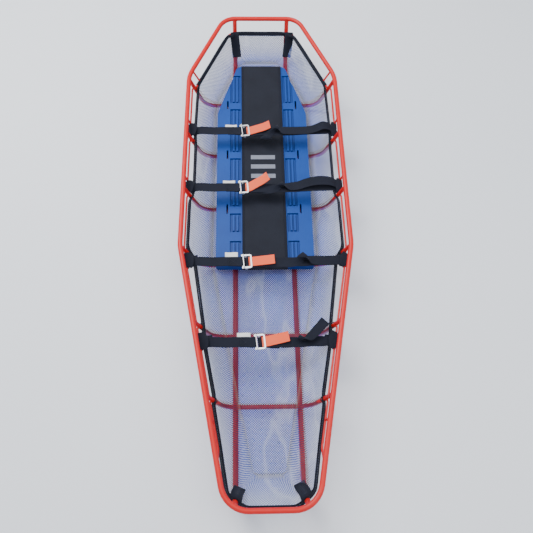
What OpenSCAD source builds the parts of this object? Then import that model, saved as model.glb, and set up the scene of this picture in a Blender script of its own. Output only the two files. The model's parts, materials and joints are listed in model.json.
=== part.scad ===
// Tapered rescue litter: tube basket, net liner, half-length spine board and four straps.
// The origin is on the ground under the middle of the litter, +Y points to the head, +Z up.

/* [Basket frame] */
// Overall length over the top rail
litter_l = 2064; // [1960:4:2120]
// Overall width over the top rail at the waist
litter_w = 650; // [630:2:680]
// Height of the top rail's centre line above the ground
rail_h = 198; // [190:1:215]
// Outer diameter of the top rail and runner tube
rail_d = 19; // [17:0.5:21]
// Outer diameter of the rib tube
rib_d = 16; // [14:0.5:18]
// Diameter of the side rods and posts
rod_d = 8; // [6:0.5:9]
// How far a rib or runner leans in for each millimetre it drops
flare = 0.355; // [0.3:0.005:0.4]
// Bend radius of the ribs, on the tube's centre line
rib_bend = 65; // [50:1:70]
// Distance of each runner from the middle
runner_x = 115; // [110:1:117]

/* [Net liner] */
// Thickness of the net as modelled
net_t = 2; // [1.5:0.1:2.5]
// Height of the hem band
hem_h = 14; // [10:1:16]

/* [Spine board] */
// Width of the spine board
board_w = 380; // [340:2:384]
// Length of the spine board
board_l = 989; // [950:1:1000]
// Thickness of the spine board
board_t = 36; // [28:1:40]
// Wall thickness of the moulded board
board_skin = 4; // [3:0.5:6]
// Width of the padded sleeve round the board
sleeve_w = 176; // [150:2:190]
// Thickness of the padding on top of the board
pad_t = 7; // [4:0.5:9]

/* [Straps] */
// Width of the strap webbing
web_w = 38; // [30:1:40]
// Thickness of one layer of webbing
web_t = 2.2; // [1.6:0.1:2.4]
// Height of the buckles' hinge bars above the ground
strap_h = 143; // [140:1:148]
// Length of the release tabs
tab_l = 86; // [70:1:95]

/* [Hidden] */
$fn = 48;
STRAPS = [1, 2, 3, 4];
RIBS = [1, 2, 3, 4, 5, 6];

RED = [0.88, 0.36, 0.32];
NET = [0.80, 0.82, 0.90];
BLACK = [0.13, 0.14, 0.18];
BLUE = [0.14, 0.38, 0.70];
ORANGE = [1.0, 0.60, 0.48];
STEEL = [0.88, 0.88, 0.90];

// Corners of the top rail's centre line in plan, on the right side, from the head to the foot
end_y = litter_l / 2 - rail_d / 2;
brow_x = 160;
shoulder = [306, 699];
waist = [litter_w / 2 - rail_d / 2, -104];
toe_x = 145;
RIGHT_SIDE = [[brow_x, end_y], shoulder, waist, [toe_x, -end_y]];
LEFT_SIDE = [for (i = [3:-1:0]) [-RIGHT_SIDE[i][0], RIGHT_SIDE[i][1]]];
// The whole loop, clockwise from the right brow: edge k runs from corner k to corner k + 1
LOOP = concat(RIGHT_SIDE, LEFT_SIDE);
brow_bend = 75;
shoulder_bend = 160;
waist_bend = 170;
toe_bend = 90;
UP = [0, 0, 1];
// Facets round each kind of tube, and the angle between the rings in a bend
rail_sides = 24;
rib_sides = 20;
rod_sides = 12;
bend_step = 9;

// Where the rail's four tubes are butted together
head_split_y = 640;
foot_split_y = -900;

RIB_Y = [679, 408, 146, -105, -399, -663];
rib_z = rail_d + rib_d / 2;
runner_z = rail_d / 2;
runner_bend = 70;

// The side rods run below and inside the rail, the head rod a little further in
rod_in = 11;
rod_z = rail_h - 50;
rod_bend = 12;
rod_lead = 14;
head_rod_in = 32;
head_rod_z = rail_h - 52;
head_rod_bend = 45;
POST_Y = [482, 206, -739];
brow_post_y = 726;

// The net's cross-section: distance in from the rail and height, from hem to floor
hem_in = 38;
hem_t = 3;
foot_extra = 15;
hem_z = 126;
NET_IN = [40, 60, 112];
NET_Z = [124, 74, 39.5];
net_gap = 2;
floor_z = rib_z + rib_d / 2 + 0.3;

// The board lies on the net floor, with the sleeve's lower layer under it
sleeve_t = 2;
board_z = floor_z + net_t + sleeve_t + 0.6;
board_foot_y = -131;
board_head_y = board_foot_y + board_l;
board_brow_x = 112;
board_shoulder_y = 640;
board_corner = 26;
board_foot_corner = 8;
SLOT_Y = [643, 383, 121];
slot_l = 45;
slot_w = 7;
slot_x = 147;
groove_depth = 7;
// Moulded panels beside the sleeve: lower and upper end of each
PANELS = [[-116, -24], [16, 100], [132, 364], [396, 620], [654, 806]];
panel_x = 92;
panel_w = 44;
panel_rib = 7;
panel_end = 6;

// Straps from the head to the foot: place along the litter and place of each hinge bar
STRAP_Y = [453, 179, -146, -461];
BUCKLE_X = [-89, -96, -86, -42];
BUCKLE_YAW = [6, 5, 4, 5];
TAB_YAW = [6, 20, 0, 6];
TAB_RISE = [10, 12, 5, 6];
hitch_w = 36;
hitch_clear = 1;
bar_r = 2.5;
bar_clear = 0.3;
buckle_half = 28;
buckle_t = 4;
cheek_w = 6;
// Buckle plate: how far it runs behind and in front of the hinge bar, and its front corners
plate_back = 4;
plate_front = 34;
plate_corner = 8;
pull_half = 2.5;
pull_x = plate_front - pull_half;
lug_t = 4;
lug_wall = 3;
// Place of the guard bar above the hinge bar
guard = [3, 7.2];
guard_r = 2.1;
lock = [13, -8.5];
lock_r = 3;
fold_end = 24;
web_start = 32;
// How far the right strap runs below the hinge bar at the buckle
web_drop = 8.5;
sewn_l = 50;

function unit(v) = v / norm(v);
function mix(a, b, t) = a + (b - a) * t;
function turn(a, b, c) = acos(max(-1, min(1, unit(b - a) * unit(c - b))));
function basis(x, y, z, o) = [
    [x[0], y[0], z[0], o[0]],
    [x[1], y[1], z[1], o[1]],
    [x[2], y[2], z[2], o[2]],
    [0, 0, 0, 1]
];
function at_height(p, z) = [p[0], p[1], z];

// Distance of the top rail from the middle, on its straight sides
function rail_x(y) =
    y > waist[1] ? mix(waist[0], shoulder[0], (y - waist[1]) / (shoulder[1] - waist[1])) :
    mix(waist[0], toe_x, (y - waist[1]) / (-end_y - waist[1]));

// Inward normal of edge k of the loop
function inward(k) =
    let (d = unit(LOOP[(k + 1) % 8] - LOOP[k % 8])) [d[1], -d[0]];
function edge_in(k, d) = k % 8 == 3 ? d + foot_extra : d;
// Corner k of the loop after each edge has moved in by d, more at the foot
function ring_corner(k, d) =
    let (n1 = inward(k + 7), n2 = inward(k), c = n1 * n2,
         d1 = edge_in(k + 7, d), d2 = edge_in(k, d))
    LOOP[k] + ((n1 - c * n2) * d1 + (n2 - c * n1) * d2) / (1 - c * c);
function ring(d) = [for (k = [0:7]) ring_corner(k, d)];

// Points and directions along the bend at b on the way from a to c
function bend(a, b, c, r) =
    let (u = unit(b - a), v = unit(c - b), sweep = turn(a, b, c),
         out = -cross(unit(cross(u, v)), u),
         start = b - u * (r * tan(sweep / 2)),
         steps = ceil(sweep / bend_step))
    [for (i = [0:steps]) let (f = sweep * i / steps)
        [start + out * r * (cos(f) - 1) + u * r * sin(f), u * cos(f) - out * sin(f)]];

// Points and directions along a whole path, with a bend radius for each corner
function course(path, bends) =
    let (last = len(path) - 1)
    concat(
        [[path[0], unit(path[1] - path[0])]],
        [for (i = [1:last - 1]) each bend(path[i - 1], path[i], path[i + 1], bends[i])],
        [[path[last], unit(path[last] - path[last - 1])]]
    );

// A bent tube along path; ref is a direction that the path never points in
module tube(path, bends, d, sides, ref) {
    stations = course(path, bends);
    last = len(stations) - 1;
    points = [for (s = stations)
        let (t = s[1], e = unit(ref - (ref * t) * t), f = cross(t, e))
        for (j = [0:sides - 1])
            s[0] + d / 2 * (e * cos(360 * j / sides) + f * sin(360 * j / sides))];
    walls = [for (k = [0:last - 1]) for (j = [0:sides - 1])
        let (a = k * sides + j, b = k * sides + (j + 1) % sides)
        each [[a, a + sides, b + sides], [a, b + sides, b]]];
    caps = [[for (j = [0:sides - 1]) j], [for (j = [sides - 1:-1:0]) last * sides + j]];
    polyhedron(points, concat(walls, caps));
}

// A flat strip from a to b, its width along Y
module strip(a, b, w, t) {
    x = unit(b - a);
    y = [0, 1, 0];
    multmatrix(basis(x, y, cross(x, y), a)) translate([0, -w / 2, -t / 2]) cube([norm(b - a), w, t]);
}

module rail_side(s) {
    path = [
        [s * rail_x(head_split_y), head_split_y, rail_h],
        [s * waist[0], waist[1], rail_h],
        [s * rail_x(foot_split_y), foot_split_y, rail_h]
    ];
    tube(path, [0, waist_bend, 0], rail_d, rail_sides, UP);
}

module head_rail() {
    right = [for (p = [RIGHT_SIDE[0], shoulder, [rail_x(head_split_y), head_split_y]]) at_height(p, rail_h)];
    left = [for (i = [2:-1:0]) [-right[i][0], right[i][1], rail_h]];
    bends = [0, shoulder_bend, brow_bend, brow_bend, shoulder_bend, 0];
    color(RED) tube(concat(left, right), bends, rail_d, rail_sides, UP);
}

module left_rail() { color(RED) rail_side(-1); }
module right_rail() { color(RED) rail_side(1); }

module foot_rail() {
    x = rail_x(foot_split_y);
    path = [
        [-x, foot_split_y, rail_h],
        [-toe_x, -end_y, rail_h],
        [toe_x, -end_y, rail_h],
        [x, foot_split_y, rail_h]
    ];
    color(RED) tube(path, [0, toe_bend, toe_bend, 0], rail_d, rail_sides, UP);
}

function rib_corner_x(y) = rail_x(y) - flare * (rail_h - rib_z);
function rib_x(y, z) = rail_x(y) - flare * (rail_h - z);

module rib_tube(y) {
    x = rail_x(y);
    c = rib_corner_x(y);
    path = [[-x, y, rail_h], [-c, y, rib_z], [c, y, rib_z], [x, y, rail_h]];
    tube(path, [0, rib_bend, rib_bend, 0], rib_d, rib_sides, [0, 1, 0]);
}

// A rib is a bent tube whose ends are coped to the rail
module rib(i) {
    color(RED) difference() {
        rib_tube(RIB_Y[i - 1]);
        if (i == 1) head_rail();
        if (i > 1) rail_side(-1);
        if (i > 1) rail_side(1);
    }
}

// Where a runner meets the rail at the foot, on the toe bend
runner_toe_y =
    let (flat_x = toe_x - toe_bend * tan(turn(waist, RIGHT_SIDE[3], [0, -end_y]) / 2))
    -end_y + toe_bend - sqrt(pow(toe_bend, 2) - pow(runner_x - flat_x, 2));

module runner(s) {
    run = flare * (rail_h - runner_z);
    path = [
        [s * runner_x, end_y, rail_h],
        [s * runner_x, end_y - run, runner_z],
        [s * runner_x, runner_toe_y + run, runner_z],
        [s * runner_x, runner_toe_y, rail_h]
    ];
    color(RED) difference() {
        tube(path, [0, runner_bend, runner_bend, 0], rail_d, rail_sides, [1, 0, 0]);
        head_rail();
        foot_rail();
    }
}

module head_rod() {
    y = RIB_Y[0];
    corners = [ring_corner(7, head_rod_in), ring_corner(0, head_rod_in)];
    shoulders = [ring_corner(6, head_rod_in), ring_corner(1, head_rod_in)];
    part = (corners[0][1] - y) / (corners[0][1] - shoulders[0][1]);
    ends = [for (i = [0, 1]) mix(corners[i], shoulders[i], part)];
    path = [for (p = [ends[0], corners[0], corners[1], ends[1]]) at_height(p, head_rod_z)];
    color(RED) difference() {
        tube(path, [0, head_rod_bend, head_rod_bend, 0], rod_d, rod_sides, UP);
        rib_tube(y);
    }
}

// One length of side rod between two ribs, its ends bent in to the ribs
module bay_rod(s, y1, y2) {
    path = [
        [s * rib_x(y1, rod_z), y1, rod_z],
        [s * (rail_x(y1 - rod_lead) - rod_in), y1 - rod_lead, rod_z],
        [s * (rail_x(y2 + rod_lead) - rod_in), y2 + rod_lead, rod_z],
        [s * rib_x(y2, rod_z), y2, rod_z]
    ];
    difference() {
        tube(path, [0, rod_bend, rod_bend, 0], rod_d, rod_sides, UP);
        rib_tube(y1);
        rib_tube(y2);
    }
}

// The last length of side rod rises from rib 6 into the rail before the toe bend
module toe_rod(s) {
    y1 = RIB_Y[5];
    y2 = foot_split_y + 10;
    path = [
        [s * rib_x(y1, rod_z), y1, rod_z],
        [s * (rail_x(y1 - rod_lead) - rod_in), y1 - rod_lead, rod_z],
        [s * (rail_x(y2 + 60) - rod_in), y2 + 60, rod_z],
        [s * rail_x(y2), y2, rail_h]
    ];
    difference() {
        tube(path, [0, rod_bend, 30, 0], rod_d, rod_sides, UP);
        rib_tube(y1);
        rail_side(s);
    }
}

module side_rods(s) {
    for (i = [0:4]) bay_rod(s, RIB_Y[i], RIB_Y[i + 1]);
    toe_rod(s);
}

module left_rods() { color(RED) side_rods(-1); }
module right_rods() { color(RED) side_rods(1); }

module side_post(s, y) {
    x = rail_x(y);
    top = [s * x, y, rail_h];
    foot = [s * (x - rod_in), y, rod_z];
    near = [s * (rail_x(y - rod_d) - rod_in), y - rod_d, rod_z];
    far = [s * (rail_x(y + rod_d) - rod_in), y + rod_d, rod_z];
    difference() {
        tube([top, foot], [0, 0], rod_d, rod_sides, [0, 1, 0]);
        rail_side(s);
        tube([near, far], [0, 0], rod_d, rod_sides, UP);
    }
}

module brow_post(s) {
    k = s > 0 ? 0 : 7;
    n = s > 0 ? inward(0) : inward(6);
    t = (end_y - brow_post_y) / (end_y - shoulder[1]);
    top = mix([s * brow_x, end_y], [s * shoulder[0], shoulder[1]], t);
    foot = top + n * head_rod_in;
    difference() {
        tube([at_height(top, rail_h), at_height(foot, head_rod_z)], [0, 0], rod_d, rod_sides, [0, 1, 0]);
        head_rail();
        head_rod();
    }
}

module rail_posts() {
    color(RED) for (s = [-1, 1]) {
        for (y = POST_Y) side_post(s, y);
        brow_post(s);
    }
}

// A four-cornered piece of net between two heights of the bag
module net_slab(k, level) {
    outer = [for (j = [k, k + 1]) at_height(ring_corner(j % 8, NET_IN[level]), NET_Z[level])];
    inner = [for (j = [k, k + 1]) at_height(ring_corner(j % 8, NET_IN[level + 1]), NET_Z[level + 1])];
    cut = [for (e = [outer, inner]) net_gap / norm(e[1] - e[0])];
    hull() {
        for (t = [cut[0], 1 - cut[0]]) translate(mix(outer[0], outer[1], t)) cube(net_t, center = true);
        for (t = [cut[1], 1 - cut[1]]) translate(mix(inner[0], inner[1], t)) cube(net_t, center = true);
    }
}

module net_wall(k) {
    color(NET) {
        net_slab(k, 0);
        net_slab(k, 1);
    }
}

module net_head() { net_wall(7); }
module net_right_shoulder() { net_wall(0); }
module net_right_torso() { net_wall(1); }
module net_right_leg() { net_wall(2); }
module net_foot() { net_wall(3); }
module net_left_leg() { net_wall(4); }
module net_left_torso() { net_wall(5); }
module net_left_shoulder() { net_wall(6); }

module net_floor() {
    color(NET) translate([0, 0, floor_z]) linear_extrude(net_t) polygon(ring(NET_IN[2] + net_gap));
}

module net_hem() {
    color(BLACK) translate([0, 0, hem_z]) linear_extrude(hem_h) difference() {
        polygon(ring(hem_in));
        polygon(ring(hem_in + hem_t));
    }
}

// A webbing tab that lies inside the net's head wall, beside a runner
module head_ties() {
    x = runner_x - 18;
    color(BLACK) for (s = [-1, 1]) {
        top = [s * x, end_y - hem_in - hem_t - 3.5, hem_z];
        low = [s * x, end_y - NET_IN[1] - 5, NET_Z[1] + 4];
        down = unit(low - top);
        side = [1, 0, 0];
        multmatrix(basis(down, side, cross(down, side), top))
            translate([0, -web_w / 2, -web_t / 2]) cube([norm(low - top), web_w, web_t]);
    }
}

// A square webbing patch set cornerwise inside the net at each toe
module foot_patches() {
    color(BLACK) for (s = [-1, 1]) {
        translate([s * 92, -end_y + hem_in + foot_extra + hem_t + 23, hem_z + 4])
            rotate([0, 0, s * 40]) cube([web_w, 24, web_t], center = true);
    }
}

// Corner arc of an outline: from direction a0 turning by a1 round centre c
function arc(c, r, a0, a1) = [for (i = [0:6]) c + r * [cos(a0 + a1 * i / 6), sin(a0 + a1 * i / 6)]];

module board_outline(shrink) {
    w = board_w / 2 - shrink;
    r = board_corner;
    f = board_foot_corner;
    hy = board_head_y - shrink;
    fy = board_foot_y + shrink;
    lean = atan((board_w / 2 - board_brow_x) / (board_head_y - board_shoulder_y));
    right = concat(
        arc([board_brow_x - r, hy - r], r, 90, lean - 90),
        arc([w - r * 2, board_shoulder_y - r * 2], r * 2, lean, -lean),
        arc([w - f, fy + f], f, 0, -90)
    );
    left = [for (i = [len(right) - 1:-1:0]) [-right[i][0], right[i][1]]];
    polygon(concat(right, left));
}

// The moulded board: a skin with walls round the edge, cross ribs below and grooved panels on top
module board_shell() {
    cavity_h = board_t - board_skin - groove_depth;
    color(BLUE) difference() {
        translate([0, 0, board_z]) linear_extrude(board_t) board_outline(0);
        difference() {
            translate([0, 0, board_z - 1]) linear_extrude(cavity_h + 1) board_outline(board_skin);
            for (y = SLOT_Y) {
                for (s = [-1, 1]) translate([s * slot_x, y, board_z]) board_lug(cavity_h);
                translate([-board_w / 2, y - 2, board_z]) cube([board_w, board_skin, cavity_h + 1]);
            }
        }
        for (y = SLOT_Y) {
            for (s = [-1, 1]) translate([s * slot_x, y, board_z - 1]) slot_hole(board_t + 2);
        }
        for (p = PANELS) {
            for (s = [-1, 1]) board_panel(s, p);
        }
    }
}

module slot_hole(h) {
    translate([-slot_w / 2, -slot_l / 2 + slot_w / 2, 0]) cube([slot_w, slot_l - slot_w, h]);
    for (t = [-1, 1]) translate([0, t * (slot_l - slot_w) / 2, 0]) cylinder(h = h, d = slot_w);
}

module board_lug(h) {
    translate([-slot_w / 2 - board_skin, -slot_l / 2 - board_skin, 0])
        cube([slot_w + 2 * board_skin, slot_l + 2 * board_skin, h + 1]);
}

// A sunk panel with two raised ribs along it
module board_panel(s, p) {
    x0 = s > 0 ? panel_x : -panel_x - panel_w;
    length = p[1] - p[0];
    translate([x0, p[0], board_z + board_t - groove_depth]) difference() {
        cube([panel_w, length, groove_depth + 1]);
        for (i = [1, 2]) {
            translate([panel_w * i / 3 - panel_rib / 2, panel_end, -1])
                cube([panel_rib, length - 2 * panel_end, groove_depth + 1]);
        }
    }
}

// Padded fabric sleeve that goes right round the board lengthwise
module board_sleeve() {
    gap = 0.3;
    low = board_z - gap - sleeve_t;
    high = board_z + board_t + gap + pad_t;
    color(BLACK) difference() {
        translate([-sleeve_w / 2, board_foot_y - gap - sleeve_t, low])
            cube([sleeve_w, board_l + 2 * (gap + sleeve_t), high - low]);
        translate([-sleeve_w / 2 - 1, board_foot_y - gap, board_z - gap])
            cube([sleeve_w + 2, board_l + 2 * gap, board_t + 2 * gap]);
    }
}

function hitch_x(y) = rail_x(y) - rod_in;
// How far the side rod leans in plan where a strap is hitched to it
function hitch_lean(y) =
    y > waist[1] ? atan((shoulder[0] - waist[0]) / (shoulder[1] - waist[1])) :
    atan((waist[0] - toe_x) / (waist[1] + end_y));
// Distance from the rod to the end of the strap's straight part
function hitch_reach(y) =
    rod_d / 2 + hitch_clear + 2 * web_t + 0.4 + hitch_w / 2 * sin(abs(hitch_lean(y)));

// Webbing hitched round the side rod at each strap
module hitch(s, y) {
    inner = rod_d / 2 + hitch_clear;
    translate([s * hitch_x(y), y, rod_z]) rotate([0, 0, -s * hitch_lean(y)]) rotate([90, 0, 0]) difference() {
        cylinder(h = hitch_w, r = inner + 2 * web_t, center = true);
        cylinder(h = hitch_w + 1, r = inner, center = true);
    }
}

module left_hitches() { color(BLACK) for (y = STRAP_Y) hitch(-1, y); }
module right_hitches() { color(BLACK) for (y = STRAP_Y) hitch(1, y); }

// Children are drawn in the frame of buckle i, whose origin is the middle of the hinge bar
module at_buckle(i) {
    translate([BUCKLE_X[i - 1], STRAP_Y[i - 1], strap_h]) rotate([0, 0, BUCKLE_YAW[i - 1]]) children();
}

// The left strap ends in a loop sewn round the buckle's hinge bar
module left_webbing(i) {
    y = STRAP_Y[i - 1];
    hinge = [BUCKLE_X[i - 1], y, strap_h];
    start = [-hitch_x(y) + hitch_reach(y), y, rod_z];
    loop_r = bar_r + bar_clear;
    sewn = hinge - unit(hinge - start) * sewn_l;
    color(BLACK) difference() {
        union() {
            strip(start, hinge - [loop_r + 1, 0, 0], web_w, web_t);
            strip(sewn, hinge, web_w - 1, 2 * web_t);
            at_buckle(i) rotate([90, 0, 0]) cylinder(h = web_w, r = loop_r + web_t, center = true);
        }
        at_buckle(i) rotate([90, 0, 0]) cylinder(h = 2 * web_w, r = loop_r, center = true);
    }
}

// The right strap's standing part and tail lie on each other
module right_webbing(i) {
    y = STRAP_Y[i - 1];
    start = [BUCKLE_X[i - 1] + web_start, y, strap_h - web_drop];
    end = [hitch_x(y) - hitch_reach(y), y, rod_z];
    color(BLACK) strip(start, end, web_w, 2 * web_t);
}

// Buckle frame: hinge bar with its guard, two cheeks, pull bar and the lock bar's lugs
module buckle_frame(i) {
    inner = buckle_half - cheek_w;
    corner_x = plate_front - plate_corner;
    corner_y = buckle_half - plate_corner;
    lug_y = inner + lug_t / 2;
    color(STEEL) at_buckle(i) {
        difference() {
            union() {
                translate([0, 0, -buckle_t / 2]) linear_extrude(buckle_t) difference() {
                    union() {
                        translate([-plate_back, -buckle_half]) square([plate_back + corner_x, 2 * buckle_half]);
                        translate([corner_x, -corner_y]) square([plate_corner, 2 * corner_y]);
                        for (s = [-1, 1]) translate([corner_x, s * corner_y]) circle(r = plate_corner);
                    }
                    translate([-plate_back - 1, -inner])
                        square([pull_x - pull_half + plate_back + 1, 2 * inner]);
                }
                rotate([90, 0, 0]) cylinder(h = 2 * inner + 2, r = bar_r, center = true);
                translate([guard[0], 0, guard[1]]) rotate([90, 0, 0])
                    cylinder(h = 2 * inner + 2, r = guard_r, center = true);
                for (s = [-1, 1]) {
                    translate([lock[0], s * lug_y, 0]) rotate([90, 0, 0]) buckle_lug();
                    translate([guard[0], s * lug_y, 0]) rotate([90, 0, 0]) guard_ear();
                }
            }
            translate([lock[0], 0, lock[1]]) rotate([90, 0, 0]) cylinder(h = 80, r = lock_r, center = true);
        }
    }
}

// The ear that holds the guard bar over the hinge
module guard_ear() {
    linear_extrude(lug_t, center = true) {
        translate([-guard_r - 1, 0]) square([2 * guard_r + 2, guard[1]]);
        translate([0, guard[1]]) circle(r = guard_r + 1);
    }
}

// The lug that carries one end of the lock bar
module buckle_lug() {
    r = lock_r + lug_wall;
    translate([0, lock[1], 0]) cylinder(h = lug_t, r = r, center = true);
    translate([-r, lock[1], -lug_t / 2]) cube([2 * r, -lock[1], lug_t]);
}

module lock_bar(i) {
    color(STEEL) at_buckle(i) translate([lock[0], 0, lock[1]]) rotate([90, 0, 0])
        cylinder(h = 2 * (buckle_half - cheek_w + 4) + 1, r = lock_r, center = true);
}

// The right strap's fold round the lock bar, which tips with the buckle
module webbing_fold(i) {
    r = lock_r + web_t;
    color(BLACK) at_buckle(i) rotate([90, 0, 0]) difference() {
        union() {
            translate([lock[0], lock[1], 0]) cylinder(h = web_w, r = r, center = true);
            linear_extrude(web_w - 1, center = true) polygon([
                [lock[0], lock[1] + 0.96 * r],
                [fold_end, web_t - web_drop],
                [fold_end, -web_t - web_drop],
                [lock[0], lock[1] - 0.96 * r]
            ]);
        }
        translate([lock[0], lock[1], 0]) cylinder(h = web_w + 1, r = lock_r, center = true);
    }
}

// The release tab is looped round the pull bar and sewn to itself
module release_tab(i) {
    reach = 4.5;
    color(ORANGE) at_buckle(i) translate([pull_x, 0, 0]) rotate([0, -TAB_RISE[i - 1], 0]) difference() {
        union() {
            rotate([90, 0, 0]) cylinder(h = web_w, r = reach + web_t / 2, center = true);
            rotate([0, 0, TAB_YAW[i - 1]]) translate([0, -web_w / 2, -web_t]) cube([tab_l, web_w, 2 * web_t]);
        }
        rotate([90, 0, 0]) cylinder(h = 2 * web_w, r = reach - web_t / 2, center = true);
    }
}

module strap_labels() {
    color("white") for (i = STRAPS) {
        translate([BUCKLE_X[i - 1] - 42, STRAP_Y[i - 1] + web_w / 2 + 2, strap_h + 4.3])
            cube([48, 6, 0.8], center = true);
    }
}

head_rail();
left_rail();
right_rail();
foot_rail();
for (i = RIBS) rib(i);
runner(-1);  // left_runner
runner(1);  // right_runner
head_rod();
left_rods();
right_rods();
rail_posts();
net_hem();
net_floor();
net_head();
net_foot();
net_left_shoulder();
net_left_torso();
net_left_leg();
net_right_shoulder();
net_right_torso();
net_right_leg();
head_ties();
foot_patches();
board_shell();
board_sleeve();
left_hitches();
right_hitches();
strap_labels();
for (i = STRAPS) left_webbing(i);
for (i = STRAPS) right_webbing(i);
for (i = STRAPS) buckle_frame(i);
for (i = STRAPS) lock_bar(i);
for (i = STRAPS) webbing_fold(i);
for (i = STRAPS) release_tab(i);
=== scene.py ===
# Looks of the tapered rescue litter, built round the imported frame. Metres, +Y to the head, +Z up.
import json
import math

import bpy
import numpy as np
from mathutils import Matrix, Vector, noise


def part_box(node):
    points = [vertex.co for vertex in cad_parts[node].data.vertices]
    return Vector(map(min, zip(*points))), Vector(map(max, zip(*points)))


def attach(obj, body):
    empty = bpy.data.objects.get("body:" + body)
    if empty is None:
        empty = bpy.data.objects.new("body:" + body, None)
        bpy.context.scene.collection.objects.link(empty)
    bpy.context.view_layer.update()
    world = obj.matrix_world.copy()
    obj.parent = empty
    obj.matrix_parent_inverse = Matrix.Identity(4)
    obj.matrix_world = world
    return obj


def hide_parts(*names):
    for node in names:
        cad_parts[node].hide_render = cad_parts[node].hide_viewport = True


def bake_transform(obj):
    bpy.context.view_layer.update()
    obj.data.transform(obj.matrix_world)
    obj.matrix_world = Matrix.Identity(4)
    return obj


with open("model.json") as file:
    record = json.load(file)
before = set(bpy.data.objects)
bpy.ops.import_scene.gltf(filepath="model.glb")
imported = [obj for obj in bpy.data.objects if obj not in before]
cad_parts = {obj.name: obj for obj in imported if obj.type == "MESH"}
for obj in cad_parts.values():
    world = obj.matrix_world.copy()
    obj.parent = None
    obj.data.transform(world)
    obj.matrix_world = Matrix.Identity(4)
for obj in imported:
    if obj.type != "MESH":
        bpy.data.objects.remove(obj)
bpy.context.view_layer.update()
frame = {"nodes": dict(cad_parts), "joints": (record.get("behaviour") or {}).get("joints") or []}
nodes = frame["nodes"]
SHELL_LOW, SHELL_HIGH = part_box("board_shell")
PAD_LOW, PAD_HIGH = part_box("board_sleeve")
BOARD_TOP = SHELL_HIGH.z

# ---------------- plan of the litter
END_Y = 1.0225
CORNERS = [(0.160, END_Y), (0.306, 0.699), (0.3155, -0.104), (0.145, -END_Y)]
LOOP = [Vector(c) for c in CORNERS] + [Vector((-x, y)) for x, y in reversed(CORNERS)]
RIB_Y = [0.679, 0.408, 0.146, -0.105, -0.399, -0.663]
RUNNER_X = 0.115
STRAP_Y = [0.453, 0.179, -0.146, -0.461]
RAIL_Z = 0.198
# How far the ribs lean in for each metre that they drop
FLARE = 0.355
# The side rods that hold the straps: how far inside the rail they run, and how high
ROD_IN, ROD_Z = 0.011, 0.148
HEAD_ROD_Z = 0.146
# Distance of the net's edge inside the rail, and how much more of it there is at the foot
HEM_IN, FOOT_EXTRA = 0.0385, 0.015
# Edges of the loop, numbered from the right of the head
RIGHT_HEAD, FOOT_EDGE, LEFT_HEAD = 0, 3, 6
TINY = 1e-12

# ---------------- camera and light
CAMERA_AT = (-0.0756, -1.1956, 2.3018)
CAMERA_TURNS = [(25.479, "X"), (-1.859, "Y"), (-0.456, "Z")]
CAMERA_LENS, CAMERA_SENSOR = 43.52, 36.0


def studio_camera():
    camera = bpy.data.objects.new("camera", bpy.data.cameras.new("camera"))
    camera.data.lens = CAMERA_LENS
    camera.data.sensor_width = CAMERA_SENSOR
    camera.data.clip_end = 60
    place = Matrix.Translation(CAMERA_AT)
    for angle, axis in CAMERA_TURNS:
        place = place @ Matrix.Rotation(math.radians(angle), 4, axis)
    camera.matrix_world = place
    bpy.context.scene.collection.objects.link(camera)
    bpy.context.scene.camera = camera


def area_light(name, at, size, power, tint=(1, 1, 1)):
    """A square lamp that looks at the origin."""
    lamp = bpy.data.lights.new(name, "AREA")
    lamp.energy = power
    lamp.size = size
    lamp.color = tint
    obj = bpy.data.objects.new(name, lamp)
    obj.location = at
    obj.rotation_euler = (-Vector(at)).to_track_quat("-Z", "Y").to_euler()
    bpy.context.scene.collection.objects.link(obj)


def studio_world():
    world = bpy.data.worlds.new("studio")
    world.use_nodes = True
    sky = world.node_tree.nodes["Background"]
    sky.inputs["Color"].default_value = (0.86, 0.93, 1.0, 1)
    sky.inputs["Strength"].default_value = 0.80
    bpy.context.scene.world = world


studio_camera()
area_light("key", (-1.6, 1.4, 3.2), 1.8, 125, (1.0, 0.985, 0.96))
area_light("fill", (2.2, -1.2, 3.0), 3.0, 34)
area_light("top", (0, 0.2, 4.4), 3.6, 62)
studio_world()


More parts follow.
